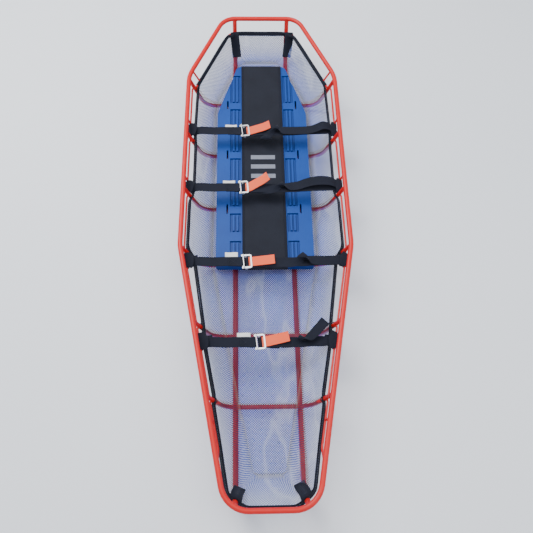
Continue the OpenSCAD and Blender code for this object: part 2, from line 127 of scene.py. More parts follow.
# ---------------- materials
class Shader:
    """A small helper that wires one Principled material."""

    def __init__(self, name, rough, metallic=0.0, **sockets):
        self.mat = bpy.data.materials.new(name)
        self.mat.use_nodes = True
        self.tree = self.mat.node_tree
        self.bsdf = self.tree.nodes["Principled BSDF"]
        self.bsdf.inputs["Roughness"].default_value = rough
        self.bsdf.inputs["Metallic"].default_value = metallic
        for key, value in sockets.items():
            self.bsdf.inputs[key.replace("_", " ")].default_value = value
        self.normal = None

    def node(self, kind, **values):
        made = self.tree.nodes.new(kind)
        for key, value in values.items():
            if key.startswith("in_"):
                made.inputs[key[3:].replace("_", " ")].default_value = value
            else:
                setattr(made, key, value)
        return made

    def link(self, a, b):
        self.tree.links.new(a, b)

    def coords(self, kind):
        return self.node("ShaderNodeTexCoord").outputs[kind]

    def split(self, kind):
        parts = self.node("ShaderNodeSeparateXYZ")
        self.link(self.coords(kind), parts.inputs[0])
        return parts.outputs

    def math(self, op, *values):
        made = self.node("ShaderNodeMath", operation=op)
        for i, value in enumerate(values):
            if isinstance(value, (int, float)):
                made.inputs[i].default_value = value
            else:
                self.link(value, made.inputs[i])
        return made.outputs[0]

    def noise(self, scale, detail=4.0, rough=0.55, stretch=None):
        source = self.coords("Object")
        if stretch:
            mapping = self.node("ShaderNodeMapping")
            mapping.inputs["Scale"].default_value = stretch
            self.link(source, mapping.inputs["Vector"])
            source = mapping.outputs[0]
        made = self.node("ShaderNodeTexNoise", in_Scale=scale, in_Detail=detail, in_Roughness=rough)
        self.link(source, made.inputs["Vector"])
        return made.outputs[0]

    def weave(self, a, b, pitch_a, pitch_b):
        """Crossed waves along two coordinates, from 0 to 1."""
        warp = self.math("SINE", self.math("MULTIPLY", a, 2 * math.pi / pitch_a))
        weft = self.math("SINE", self.math("MULTIPLY", b, 2 * math.pi / pitch_b))
        return self.math("MULTIPLY_ADD", self.math("MULTIPLY", warp, weft), 0.5, 0.5)

    def cloth_weave(self, pitch):
        """A plain weave on the object's own axes."""
        x, y, z = self.split("Object")
        return self.weave(x, self.math("ADD", y, z), pitch, pitch)

    def ramp(self, value, stops):
        made = self.node("ShaderNodeValToRGB")
        ramp = made.color_ramp
        while len(ramp.elements) < len(stops):
            ramp.elements.new(0.5)
        for element, (at, colour) in zip(ramp.elements, stops):
            element.position = at
            element.color = (*colour, 1)
        self.link(value, made.inputs[0])
        return made.outputs[0]

    def fade(self, value, start, end, first=0.0, last=1.0):
        """Goes from first to last as value goes from start to end."""
        made = self.node("ShaderNodeMapRange", in_From_Min=start, in_From_Max=end)
        made.inputs["To Min"].default_value = first
        made.inputs["To Max"].default_value = last
        self.link(value, made.inputs["Value"])
        return made.outputs[0]

    def mix(self, factor, a, b):
        made = self.node("ShaderNodeMix", data_type="RGBA")
        for i, value in ((0, factor), (6, a), (7, b)):
            if isinstance(value, tuple):
                made.inputs[i].default_value = (*value, 1)
            else:
                self.link(value, made.inputs[i])
        return made.outputs[2]

    def colour(self, out):
        self.link(out, self.bsdf.inputs["Base Color"])

    def roughness(self, value, low, high):
        self.link(self.fade(value, 0, 1, low, high), self.bsdf.inputs["Roughness"])

    def bump(self, height, distance, strength):
        made = self.node("ShaderNodeBump", in_Strength=strength, in_Distance=distance)
        self.link(height, made.inputs["Height"])
        if self.normal is not None:
            self.link(self.normal, made.inputs["Normal"])
        self.normal = made.outputs[0]
        self.link(self.normal, self.bsdf.inputs["Normal"])


def srgb(r, g, b):
    def lin(c):
        c = c / 255
        return c / 12.92 if c <= 0.04045 else ((c + 0.055) / 1.055) ** 2.4

    return (lin(r), lin(g), lin(b))


NO, YES = (0, 0, 0), (1, 1, 1)


def red_paint():
    """Powder coat with scuffs and a few dark chips."""
    s = Shader("red_powder_coat", 0.42, Specular_IOR_Level=0.3, Coat_Weight=0.1, Coat_Roughness=0.3)
    chips = s.ramp(s.noise(160, 3), [(0.70, NO), (0.76, YES)])
    scuffs = s.noise(30, 6, 0.7)
    scuffed = s.mix(scuffs, srgb(200, 18, 16), srgb(218, 36, 32))
    s.colour(s.mix(s.math("MULTIPLY", chips, 0.25), scuffed, srgb(130, 34, 32)))
    s.roughness(scuffs, 0.28, 0.5)
    s.bump(s.noise(420, 2), 0.0004, 0.25)
    return s.mat


def webbing(name, dark, light, sheen):
    """Ribbed tape: the weave follows the length and width of each ribbon."""
    pitch = 0.0022
    s = Shader(name, 0.78, Specular_IOR_Level=0.18, Sheen_Weight=sheen, Sheen_Roughness=0.45)
    u, v, _ = s.split("UV")
    level = s.weave(u, v, pitch, pitch * 1.4)
    faded = s.noise(14, 5)
    s.colour(s.mix(s.math("MULTIPLY", s.math("ADD", level, faded), 0.5), dark, light))
    s.bump(level, 0.0006, 0.6)
    s.bump(s.noise(55, 4), 0.0012, 0.35)
    return s.mat


def painted_tube_shade(s):
    """Painted shade: how much darker the net's threads are painted where it rests on a rib or a runner."""
    x, y, _ = s.split("Object")
    gap = s.math("ABSOLUTE", s.math("SUBTRACT", s.math("ABSOLUTE", x), RUNNER_X))
    for rib_y in RIB_Y:
        gap = s.math("MINIMUM", gap, s.math("ABSOLUTE", s.math("SUBTRACT", y, rib_y)))
    return s.fade(gap, 0.0085, 0.0140, 0.88, 0.0)


def net_cloth():
    """Knitted mesh: diamonds of thread in their own blue, with painted shade on the floor and over the tubes,
    painted light up the walls, and painted highlights in pale streaks like folds.
    """
    pitch, thread = 0.0058, 0.35
    floor_z, wall_z = 0.042, 0.105
    fold_noise = {"scale": 5.5, "detail": 3, "rough": 0.5, "stretch": (1.0, 0.38, 1.0)}
    s = Shader("net_mesh", 0.6, Specular_IOR_Level=0.3, Sheen_Weight=0.3, Sheen_Roughness=0.35)
    u, v, _ = s.split("UV")
    from_line = []
    for op in ("ADD", "SUBTRACT"):
        diagonal = s.math("MULTIPLY", s.math(op, u, v), 0.7071 / pitch)
        middle = s.math("ABSOLUTE", s.math("SUBTRACT", s.math("FRACT", diagonal), 0.5))
        from_line.append(s.math("SUBTRACT", 0.5, middle))
    on_thread = s.math("LESS_THAN", s.math("MINIMUM", *from_line), thread / 2)
    s.link(on_thread, s.bsdf.inputs["Alpha"])
    # Painted shade and light: by height, the threads' blue is painted darker on the floor and paler up the
    # walls
    height = s.fade(s.split("Object")[2], floor_z, wall_z)
    tone = s.noise(7, 5)
    floor_blue_painted_shade = s.ramp(tone, [(0.3, srgb(40, 66, 158)), (0.7, srgb(62, 96, 198))])
    wall_blue_painted_light = s.ramp(tone, [(0.3, srgb(104, 122, 172)), (0.7, srgb(144, 158, 200))])
    # Painted highlights: pale streaks along the folds, where they would catch the light
    folds = s.ramp(s.noise(**fold_noise), [(0.53, NO), (0.565, YES), (0.59, NO)])
    by_height = s.mix(height, floor_blue_painted_shade, wall_blue_painted_light)
    streaked = s.mix(s.math("MULTIPLY", folds, 0.42), by_height, srgb(206, 212, 230))
    # Painted shade: the threads turn dark red where the net rests on a rib or a runner
    s.colour(s.mix(painted_tube_shade(s), streaked, srgb(62, 20, 20)))
    s.bump(s.noise(**fold_noise), 0.018, 0.35)
    s.bump(s.noise(240, 2), 0.0005, 0.3)
    return s.mat


def board_plastic():
    """Moulded blue plastic with fine scratches, and painted shade down in its recesses."""
    s = Shader("board_blue", 0.45, Specular_IOR_Level=0.28)
    scratches = s.noise(40, 8, 0.75, stretch=(6, 0.6, 1))
    plain = s.ramp(s.noise(6, 5), [(0.3, srgb(3, 54, 136)), (0.7, srgb(8, 66, 152))])
    worn = s.mix(s.math("MULTIPLY", scratches, 0.16), plain, srgb(70, 126, 196))
    # Painted shade: the blue is painted darker the deeper a face lies below the board's top
    recess_painted_shade = s.fade(s.split("Object")[2], BOARD_TOP - 0.0066, BOARD_TOP - 0.0012, 0.34, 0.0)
    s.colour(s.mix(recess_painted_shade, worn, srgb(2, 34, 92)))
    s.roughness(scratches, 0.38, 0.56)
    s.bump(s.noise(900, 2), 0.0003, 0.35)
    s.bump(s.noise(18, 3), 0.002, 0.12)
    return s.mat


def sleeve_cloth():
    s = Shader("sleeve_nylon", 0.7, Specular_IOR_Level=0.2, Sheen_Weight=0.08, Sheen_Roughness=0.5)
    weave = s.cloth_weave(0.0016)
    level = s.math("MULTIPLY_ADD", s.noise(12, 5), 0.6, s.math("MULTIPLY", weave, 0.25))
    s.colour(s.mix(level, srgb(14, 16, 25), srgb(36, 40, 54)))
    s.bump(weave, 0.0003, 0.5)
    s.bump(s.noise(26, 3), 0.002, 0.3)
    return s.mat


def steel():
    s = Shader("buckle_steel", 0.34, metallic=1.0)
    brushed = s.noise(60, 6, 0.7, stretch=(1, 14, 1))
    s.colour(s.ramp(brushed, [(0.3, (0.90, 0.90, 0.91)), (0.7, (0.98, 0.98, 0.99))]))
    s.roughness(brushed, 0.3, 0.46)
    s.bump(s.noise(500, 2), 0.0002, 0.2)
    return s.mat


def plain_cloth(name, dark, light, rough=0.8, pitch=0.0012):
    s = Shader(name, rough)
    weave = s.cloth_weave(pitch)
    s.colour(s.mix(s.math("MULTIPLY", s.math("ADD", weave, s.noise(40, 4)), 0.5), dark, light))
    s.bump(weave, 0.0003, 0.5)
    return s.mat


def studio_paper():
    """Plain pale paper."""
    s = Shader("studio_paper", 0.9, Specular_IOR_Level=0.1)
    s.colour(s.ramp(s.noise(0.4, 2), [(0.3, (0.86, 0.89, 0.95)), (0.7, (0.90, 0.92, 0.97))]))
    return s.mat


RED = red_paint()
BLACK = webbing("black_webbing", srgb(13, 15, 24), srgb(33, 37, 52), sheen=0.06)
ORANGE = webbing("orange_webbing", srgb(246, 84, 48), srgb(255, 122, 84), sheen=0.15)
NET = net_cloth()
BLUE = board_plastic()
SLEEVE = sleeve_cloth()
STEEL = steel()
LABEL = plain_cloth("label_cloth", srgb(222, 222, 224), srgb(250, 250, 250))
THREAD = plain_cloth("black_thread", srgb(12, 13, 20), srgb(34, 38, 50), pitch=0.0008)
REFLECT = plain_cloth("reflective_print", srgb(104, 108, 124), srgb(136, 140, 156), rough=0.5)


# ---------------- mesh helpers
def mesh(name, points, faces, material, uv=None, smooth=True):
    data = bpy.data.meshes.new(name)
    data.from_pydata([tuple(p) for p in points], [], faces)
    data.validate()
    if uv is not None:
        layer = data.uv_layers.new(name="UVMap")
        for loop in data.loops:
            layer.data[loop.index].uv = uv[loop.vertex_index]
    data.polygons.foreach_set("use_smooth", [smooth] * len(data.polygons))
    data.materials.append(material)
    obj = bpy.data.objects.new(name, data)
    bpy.context.scene.collection.objects.link(obj)
    return obj


def skin(rows, count, closed=False):
    """Faces over rows of count points each, with a cap at each end unless the rows close on themselves."""
    faces = []
    for i in range(rows if closed else rows - 1):
        here, there = i * count, (i + 1) % rows * count
        for j in range(count):
            k = (j + 1) % count
            faces.append((here + j, here + k, there + k, there + j))
    if not closed:
        faces.append(tuple(range(count - 1, -1, -1)))
        faces.append(tuple((rows - 1) * count + j for j in range(count)))
    return faces


def rounded_slot(w, t):
    """Outline of a webbing's cross-section: a flat bar with round edges."""
    r, steps = t / 2, 4
    out = []
    for side in (1, -1):
        for i in range(steps + 1):
            a = math.pi * i / steps - math.pi / 2
            out.append((side * (w / 2 - r + r * math.cos(a)), side * r * math.sin(a)))
        for k in (0.5, 0.0, -0.5):
            out.append((side * k * (w - t), side * r))
    return out


def spline(points, step):
    """A smooth line through control rows, resampled about every step metres of the first three columns."""
    pts = np.array(points, float)
    padded = np.vstack([2 * pts[0] - pts[1], pts, 2 * pts[-1] - pts[-2]])
    out = []
    for i in range(1, len(padded) - 2):
        p0, p1, p2, p3 = padded[i - 1 : i + 3]
        n = max(2, int(np.linalg.norm(p2[:3] - p1[:3]) / step))
        for j in range(n):
            t = j / n
            square = (2 * p0 - 5 * p1 + 4 * p2 - p3) * t * t
            cube = (3 * p1 - p0 - 3 * p2 + p3) * t**3
            out.append(0.5 * (2 * p1 + (p2 - p0) * t + square + cube))
    out.append(pts[-1])
    return np.array(out)


def direction(line, i, closed=False):
    """The way that a line of points runs at its point i."""
    n = len(line)
    here = line[i][:3]
    after = line[(i + 1) % n][:3] if (closed or i < n - 1) else 2 * here - line[i - 1][:3]
    before = line[i - 1][:3] if (closed or i > 0) else 2 * here - after
    return (after - before) / (np.linalg.norm(after - before) + TINY)


def ribbon(name, rows, material, thick, across, step=0.006, closed=False, smooth_line=True):
    """Webbing along rows of (x, y, z, roll in degrees, width). Roll 0 keeps its width along across."""
    line = spline(rows, step) if smooth_line else np.array(rows, float)
    points, uv, length = [], [], 0.0
    ahead = np.array(across, float)
    for i, row in enumerate(line):
        p, roll, width = row[:3], math.radians(row[3]), row[4]
        t = direction(line, i, closed)
        w = ahead - t * float(ahead @ t)
        w /= np.linalg.norm(w) + TINY
        up = np.cross(t, w)
        wide = w * math.cos(roll) + up * math.sin(roll)
        flat = up * math.cos(roll) - w * math.sin(roll)
        if i:
            length += float(np.linalg.norm(p - line[i - 1][:3]))
        for a, b in rounded_slot(width, thick):
            points.append(p + wide * a + flat * b)
            uv.append((length, a + b))
    return mesh(name, points, skin(len(line), len(points) // len(line), closed), material, uv)


def rope(name, pts, radius, material, sides):
    """A round cord along a smooth line through points."""
    line = spline(pts, 0.004)
    points, uv, length = [], [], 0.0
    side = None
    for i, p in enumerate(line):
        t = direction(line, i)
        if side is None:
            side = np.cross(t, (0, 0, 1) if abs(t[2]) < 0.9 else (1, 0, 0))
        side = side - t * float(side @ t)
        side /= np.linalg.norm(side) + TINY
        other = np.cross(t, side)
        length += float(np.linalg.norm(p - line[i - 1])) if i else 0.0
        for j in range(sides):
            a = 2 * math.pi * j / sides
            points.append(p + radius * (side * math.cos(a) + other * math.sin(a)))
            uv.append((length, radius * a))
    return mesh(name, points, skin(len(line), sides), material, uv)


def join(name, parts):
    """Several meshes of the same finish become one piece."""
    bpy.ops.object.select_all(action="DESELECT")
    for p in parts:
        p.select_set(True)
    bpy.context.view_layer.objects.active = parts[0]
    if len(parts) > 1:
        bpy.ops.object.join()
    parts[0].name = name
    parts[0].data.name = name
    return parts[0]


def finish_piece(obj, body, stands_for=()):
    if body:
        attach(obj, body)
    if stands_for:
        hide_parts(*stands_for)
    return obj


# ---------------- places on the plan
def rail_x(y):
    """Distance of the rail's centre line from the middle, on its long sides."""
    (x1, y1), (x2, y2), (x3, y3) = CORNERS[1:]
    return x2 + (x1 - x2) * (y - y2) / (y1 - y2) if y > y2 else x2 + (x3 - x2) * (y - y2) / (y3 - y2)


def inward(k):
    """The way in from edge k of the loop."""
    d = (LOOP[(k + 1) % 8] - LOOP[k % 8]).normalized()
    return Vector((d.y, -d.x))


def ring_corner(k, d):
    """Corner k of the loop drawn in by d, and by FOOT_EXTRA more at the foot."""
    n1, n2 = inward(k + 7), inward(k)
    c = n1.dot(n2)
    d1 = d + (FOOT_EXTRA if (k + 7) % 8 == FOOT_EDGE else 0)
    d2 = d + (FOOT_EXTRA if k % 8 == FOOT_EDGE else 0)
    return LOOP[k % 8] + ((n1 - c * n2) * d1 + (n2 - c * n1) * d2) / (1 - c * c)


def plan_point(k, inset, y, z):
    """The point at y on edge k of the loop, inset from the rail's centre line."""
    a, b = ring_corner(k, inset), ring_corner((k + 1) % 8, inset)
    p = a + (b - a) * (y - a.y) / (b.y - a.y)
    return (p.x, p.y, z)


def look_up(table, v):
    for (x0, y0), (x1, y1) in zip(table, table[1:]):
        if min(x0, x1) <= v <= max(x0, x1):
            return y0 + (y1 - y0) * (v - x0) / (x1 - x0)
    return table[-1][1]


# ---------------- tube frame, buckles and board shell
def give(obj, material, bevel=None):
    """A CAD node's material, and where its edges are rounded their width and steps."""
    obj.data.materials.clear()
    obj.data.materials.append(material)
    if bevel:
        edge = obj.modifiers.new("edge", "BEVEL")
        edge.width, edge.segments = bevel
        edge.limit_method = "ANGLE"


for n, obj in nodes.items():
    if n.endswith(("_rail", "_runner", "_rod", "_rods")) or n.startswith("rib_") or n == "rail_posts":
        give(obj, RED)
        obj.data.polygons.foreach_set("use_smooth", [True] * len(obj.data.polygons))
    if n.startswith(("buckle_frame", "lock_bar")):
        give(obj, STEEL, (0.0009, 2))
give(nodes["board_shell"], BLUE, (0.0022, 3))

# ---------------- net liner: one sheet, hem to hem
NET_COLUMNS, SIDE_ROWS = 30, (30, 66, 78)
# The net's section from hem to floor: distance inside the rail, and height
SECTION = [
    (HEM_IN, 0.137), (0.0395, 0.124), (0.046, 0.107), (0.053, 0.090),
    (0.060, 0.074), (0.071, 0.060), (0.088, 0.0475), (0.112, 0.0400),
]
# How far each height of the section follows the hem's own course
FOLLOWS_HEM = (1, 0.9, 0.68, 0.42, 0.2, 0.08, 0, 0)
# The height whose length round measures the threads along the walls, and the heights that keep firm corners
THREAD_LEVEL, FIRM_LEVELS = 3, 4
# How far inside the rail the hem runs, by its place along the litter
HEM_COURSE = [
    (1.1, 0.0325), (0.665, 0.0335), (0.50, 0.0305), (0.432, 0.0305), (0.38, 0.0345), (0.20, 0.0355),
    (0.150, 0.0335), (0.130, 0.0215), (-0.085, 0.0215), (-0.108, 0.0335), (-0.130, 0.043),
    (-0.165, 0.042), (-0.385, 0.0335), (-0.475, 0.0265), (-0.650, 0.0275), (-0.675, 0.0205),
    (-0.80, 0.0185), (-0.93, 0.0150), (-1.1, 0.0140),
]
HEM_HEIGHT = [
    (1.1, 0.1415), (0.70, 0.1415), (0.66, 0.137), (0.150, 0.137),
    (0.130, 0.144), (-0.085, 0.144), (-0.108, 0.137), (-1.1, 0.139),
]
# The hem's place along the litter at the foot, by its distance from the middle
FOOT_COURSE = [
    (0.0, -1.0090), (0.078, -1.0090), (0.088, -1.0045), (0.112, -0.9860), (0.137, -0.9690), (0.2, -0.9590),
]
# The net lies flat under the board: half its width there, and its two ends
BOARD_REST = 0.2, (-0.16, 0.87)
NET_DROP, NET_SAG, WALL_RIPPLE = 0.0032, 0.007, 0.010
NETS = ["net_floor", "net_head", "net_foot"]
NETS += [f"net_{s}_{p}" for s in ("left", "right") for p in ("shoulder", "torso", "leg")]


def loop_points(inset, level_share, steps_of):
    """The loop at one height of the bag, bent towards the hem's real course by level_share."""
    out = []
    for k in range(8):
        a, b = ring_corner(k, inset), ring_corner((k + 1) % 8, inset)
        steps = steps_of(k, (b - a).length)
        for i in range(steps):
            p = a + (b - a) * i / steps
            if k == FOOT_EDGE:
                p.y += (look_up(FOOT_COURSE, abs(p.x)) + END_Y - HEM_IN - FOOT_EXTRA) * level_share
            else:
                p += inward(k) * (look_up(HEM_COURSE, p.y) - HEM_IN) * level_share
            out.append([p.x, p.y, look_up(HEM_HEIGHT, p.y)])
    return np.array(out)


def soften(rows, times):
    for _ in range(times):
        rows[:] = (np.roll(rows, 1, 0) + 2 * rows + np.roll(rows, -1, 0)) / 4


def net_ripple(p, amount):
    v = Vector((p[0] * 9, p[1] * 4.2, p[2] * 14))
    return amount * (noise.noise(v) + 0.5 * noise.noise(v * 2.3 + Vector((3, 1, 7))))


def net_steps(k, _):
    return (SIDE_ROWS + (NET_COLUMNS,) + SIDE_ROWS[::-1] + (NET_COLUMNS,))[k]


def rib_gap(y):
    return min(abs(y - rib_y) for rib_y in RIB_Y)


def ease(steps, *counts):
    """Rises from 0 to 1 over steps, by the smallest of the counts."""
    return min(1.0, *(count / steps for count in counts))


def down_section(levels):
    """Length down the section over its first levels."""
    return sum(math.dist(a, b) for a, b in zip(SECTION[:levels], SECTION[1:]))


def wall_rings():
    """The net's walls: a closed loop of points at each height of the section, bulging between the ribs."""
    rings = []
    last = len(SECTION) - 1
    for level, (inset, height) in enumerate(SECTION):
        share = FOLLOWS_HEM[level]
        ring = loop_points(inset, share, net_steps)
        soften(ring, 2 if level < FIRM_LEVELS else 4)
        for p in ring:
            p[2] = height + (p[2] - SECTION[0][1]) * share
            if level:
                held = min(1.0, (last - level) / 2, level / 1.5)
                bulge = net_ripple(p, WALL_RIPPLE) * min(1.0, rib_gap(p[1]) / 0.04) * held
                p[0] += math.copysign(bulge, p[0])
                p[2] += 0.3 * bulge
        rings.append(ring)
    return rings


def floor_height(p, i, j, rows):
    """Height of the net floor at p, in row i and column j: it sags between tubes, but not under the board."""
    half, (foot, head) = BOARD_REST
    under_board = foot < p[1] < head and abs(p[0]) < half
    sag = 0.0 if under_board else min(1.0, rib_gap(p[1]) / 0.09) * ease(4, j, NET_COLUMNS - j)
    sag *= min(1.0, abs(abs(p[0]) - RUNNER_X) / 0.05) * ease(6, i, rows - i)
    settled = ease(3, i, rows - i, j, NET_COLUMNS - j)
    return SECTION[-1][1] - NET_DROP * settled - NET_SAG * sag + net_ripple(p, NET_SAG) * sag


def net_liner():
    """Walls ring by ring, then the floor, row by row between the two sides of the lowest ring."""
    rings = wall_rings()
    total, levels, rows = len(rings[0]), len(rings), sum(SIDE_ROWS)
    base = (levels - 1) * total
    head_start = 2 * rows + NET_COLUMNS
    verts = [tuple(p) for ring in rings for p in ring]
    paces = np.linalg.norm(np.diff(rings[THREAD_LEVEL], axis=0), axis=1)
    along = np.concatenate([[0], np.cumsum(paces)])
    uv = [(along[i], down_section(level)) for level in range(levels) for i in range(total)]
    faces = []
    for level in range(levels - 1):
        here, below = level * total, (level + 1) * total
        for i in range(total):
            j = (i + 1) % total
            faces.append((here + i, here + j, below + j, below + i))
    floor_first = len(faces)
    inner = {}

    def floor_index(i, j):
        """Vertex of the net floor: row i from the head, column j from the right."""
        if i == 0:
            return base + (total - j) % total
        if i == rows:
            return base + rows + j
        if j == 0:
            return base + i
        if j == NET_COLUMNS:
            return base + head_start - i
        return inner[(i, j)]

    for i in range(1, rows):
        a, b = rings[-1][i], rings[-1][head_start - i]
        for j in range(1, NET_COLUMNS):
            p = a + (b - a) * j / NET_COLUMNS
            inner[(i, j)] = len(verts)
            verts.append((p[0], p[1], floor_height(p, i, j, rows)))
            uv.append((p[0], p[1]))
    for i in range(rows):
        for j in range(NET_COLUMNS):
            corners = ((i, j), (i, j + 1), (i + 1, j + 1), (i + 1, j))
            faces.append(tuple(floor_index(*c) for c in corners))
    obj = mesh("net_liner", verts, faces, NET, uv)
    layer = obj.data.uv_layers[0]
    for poly in obj.data.polygons[floor_first:]:
        for corner in poly.loop_indices:
            at = obj.data.vertices[obj.data.loops[corner].vertex_index].co
            layer.data[corner].uv = (at.x, at.y)
    return finish_piece(obj, "litter", NETS)


def net_pattern():
    """The net's cut and area, from the plan and the section: a floor panel and walls of one slant height."""

    def measure(inset):
        corners = [ring_corner(k, inset) for k in range(8)]
        pairs = list(zip(corners, corners[1:] + corners[:1]))
        area = abs(sum(a.x * b.y - b.x * a.y for a, b in pairs)) / 2
        return corners, area, sum((b - a).length for a, b in pairs)

    slant = down_section(len(SECTION))
    corners, floor_area, floor_round = measure(SECTION[-1][0])
    hem_round = measure(SECTION[0][0])[2]
    spans = [max(c[i] for c in corners) - min(c[i] for c in corners) for i in (0, 1)]
    return tuple(2 * slant + span for span in spans), floor_area + slant * (floor_round + hem_round) / 2


def hem_band():
    """Webbing folded over the net's edge."""
    line = loop_points(HEM_IN, 1.0, lambda k, length: max(4, int(length / 0.009)))
    soften(line, 2)
    rows = [[x, y, z - 0.0065, 33, 0.024] for x, y, z in line]
    band = ribbon("hem_band", rows, BLACK, thick=0.0042, across=(0, 0, 1), closed=True, smooth_line=False)
    return finish_piece(band, "litter", ["net_hem"])


def hem_wraps():
    """The hem's webbing goes right round the head rod."""
    side = [(0.032, 0.690), (0.032, 0.80), (0.0325, 0.955)]
    left = [plan_point(LEFT_HEAD, inset, y, HEAD_ROD_Z) for inset, y in side]
    right = [plan_point(RIGHT_HEAD, inset, y, HEAD_ROD_Z) for inset, y in side]
    head = [
        (-0.130, 0.972, 0.1455), (-0.100, 0.9895, HEAD_ROD_Z), (0, 0.9905, HEAD_ROD_Z),
        (0.100, 0.9895, HEAD_ROD_Z), (0.130, 0.972, 0.1455),
    ]
    wrap = rope("hem_wraps", left + head + right[::-1], 0.0066, BLACK, sides=10)
    return finish_piece(wrap, "litter")


net = net_liner()
net_cut, net_area = net_pattern()
hem = hem_band()
wrap = hem_wraps()

# ---------------- lacing cord
CORD_R, TIE_Z = 0.0011, 0.139
# Ribs, counted from the head, where a cord end stands out of the tie
RIBS_WITH_ENDS = (2, 3, 5)


def cord_loop(name, centre, u, v, tail):
    """One turn of cord round a tube, in the plane of u and v, with a free end where tail is given."""
    wide, tall = 0.0125, 0.0100
    centre, u, v = np.array(centre), np.array(u), np.array(v)
    turns = np.linspace(0, 2 * math.pi, 13)[:-1]
    ring = [tuple(centre + u * wide * math.cos(t) + v * tall * math.sin(t)) for t in turns]
    parts = [rope(name, ring + [ring[0]], CORD_R, THREAD, sides=6)]
    if tail:
        start, end = np.array(ring[0]), np.array(tail)
        route = [tuple(start), tuple(start + end * 0.5 + (0, 0, 0.004)), tuple(start + end)]
        parts.append(rope(name + "_tail", route, CORD_R, THREAD, sides=6))
    return parts


def lacing_ties():
    """Two turns of cord hold the hem to each end of each rib."""
    ties = []
    for i, y in enumerate(RIB_Y):
        for s in (-1, 1):
            rib_x = s * (rail_x(y) - FLARE * (RAIL_Z - TIE_Z))
            up = np.array([s * FLARE, 0, 1]) / math.hypot(FLARE, 1)
            over = np.array([s * 1.0, 0.28, -FLARE]) / np.linalg.norm([1.0, 0.28, FLARE])
            for n, lift in enumerate((-0.003, 0.003)):
                centre = np.array((rib_x - s * 0.004, y, TIE_Z)) + up * lift
                tail = (s * 0.016, 0.014, 0.0) if (n == 1 and i in RIBS_WITH_ENDS) else None
                ties += cord_loop(f"tie_{i}_{s}_{n}", centre, over, (0, 1, 0.1), tail)
    finish_piece(join("lacing_ties", ties), "litter")


# ---------------- webbing at the head uprights and toes
PATCH_T = 0.0026
# Down the head wall: place and width of the webbing on the right
HEAD_PATH = [
    (0.117, 0.988, 0.1530, 0.030), (0.116, 0.980, 0.1520, 0.037), (0.115, 0.9715, 0.134, 0.039),
    (0.1125, 0.962, 0.106, 0.039), (0.110, 0.952, 0.084, 0.039), (0.1085, 0.942, 0.067, 0.039),
    (0.1075, 0.933, 0.057, 0.039),
]
# The right one stands further out than the left one
HEAD_SHIFT = {-1: 0.0, 1: 0.012}
# Over the hem at the foot and down the net
TOE_PATH = [
    (0.113, -0.982, 0.131), (0.113, -0.9835, 0.144), (0.1115, -0.979, 0.152), (0.1095, -0.971, 0.149),
    (0.1075, -0.9605, 0.128), (0.1035, -0.950, 0.104), (0.0995, -0.939, 0.080),
]
TOE_END = (0.0965, -0.926, 0.064)


def head_tie_pair():
    patches = []
    for s, shift in HEAD_SHIFT.items():
        rows = [(s * x + shift, y, z, 0, w) for x, y, z, w in HEAD_PATH]
        patches.append(ribbon(f"head_{s}", rows, BLACK, thick=PATCH_T, across=(1, 0, 0)))
    finish_piece(join("head_tie_pair", patches), "litter", ["head_ties"])


def toe_patch_pair():
    """Each toe's webbing lies at its own slant, and the right one reaches further down."""
    patches = []
    for s, turn, longer in ((-1, -0.38, []), (1, -0.62, [TOE_END])):
        rows = [(s * x, y, z, 0, 0.041) for x, y, z in TOE_PATH + longer]
        patches.append(ribbon(f"toe_{s}", rows, BLACK, thick=PATCH_T, across=(0.90, s * -turn, 0)))
    finish_piece(join("toe_patch_pair", patches), "litter", ["foot_patches"])


# ---------------- padded sleeve round the board
PAD_HALF = (PAD_HIGH.x - PAD_LOW.x) / 2
# The sleeve's inner face stands just clear of the shell
PAD_Y0, PAD_Y1 = SHELL_LOW.y - 0.0008, SHELL_HIGH.y + 0.0008
PAD_Z0, PAD_Z1 = SHELL_LOW.z - 0.0005, SHELL_HIGH.z + 0.0006
PAD_BEND = 0.006
# Padding on the top, the upper bends, the ends, the lower bends and the underside
PAD_T, PAD_T_HIGH, PAD_T_END, PAD_T_LOW, PAD_T_UNDER = 0.0062, 0.0042, 0.0024, 0.0016, 0.0014
PAD_TOP = PAD_Z1 + 0.0072
# Share of the width over which each edge rounds off
PAD_EDGE = 0.10
PAD_COLUMNS = [0, 0.02, 0.05, 0.10, 0.18] + [0.18 + 0.64 * k / 12 for k in range(1, 13)]
PAD_COLUMNS += [0.90, 0.95, 0.98, 1]


def sleeve_course():
    """Rows round the board, from the foot over the top: y, z, padding and the way out."""
    r = PAD_BEND
    long_way, high_way = PAD_Y1 - PAD_Y0 - 2 * r, PAD_Z1 - PAD_Z0 - 2 * r

    def bend(y, z, thick, angles):
        turns = [(math.cos(math.radians(a)), math.sin(math.radians(a))) for a in angles]
        return [(y + r * c, z + r * d, thick, (c, d)) for c, d in turns]

    course = [(PAD_Y0 + r + long_way * i / 120, PAD_Z1, PAD_T, (0, 1)) for i in range(121)]
    course += bend(PAD_Y1 - r, PAD_Z1 - r, PAD_T_HIGH, (67, 45, 22))
    course += [(PAD_Y1, PAD_Z1 - r - high_way * i / 4, PAD_T_END, (1, 0)) for i in range(5)]
    course += bend(PAD_Y1 - r, PAD_Z0 + r, PAD_T_LOW, (-22, -45, -67))
    course += [(PAD_Y1 - r - long_way * i / 60, PAD_Z0, PAD_T_UNDER, (0, -1)) for i in range(61)]
    course += bend(PAD_Y0 + r, PAD_Z0 + r, PAD_T_LOW, (-113, -135, -158))
    course += [(PAD_Y0, PAD_Z0 + r + high_way * i / 4, PAD_T_END, (-1, 0)) for i in range(5)]
    return course + bend(PAD_Y0 + r, PAD_Z1 - r, PAD_T_HIGH, (158, 135, 113))


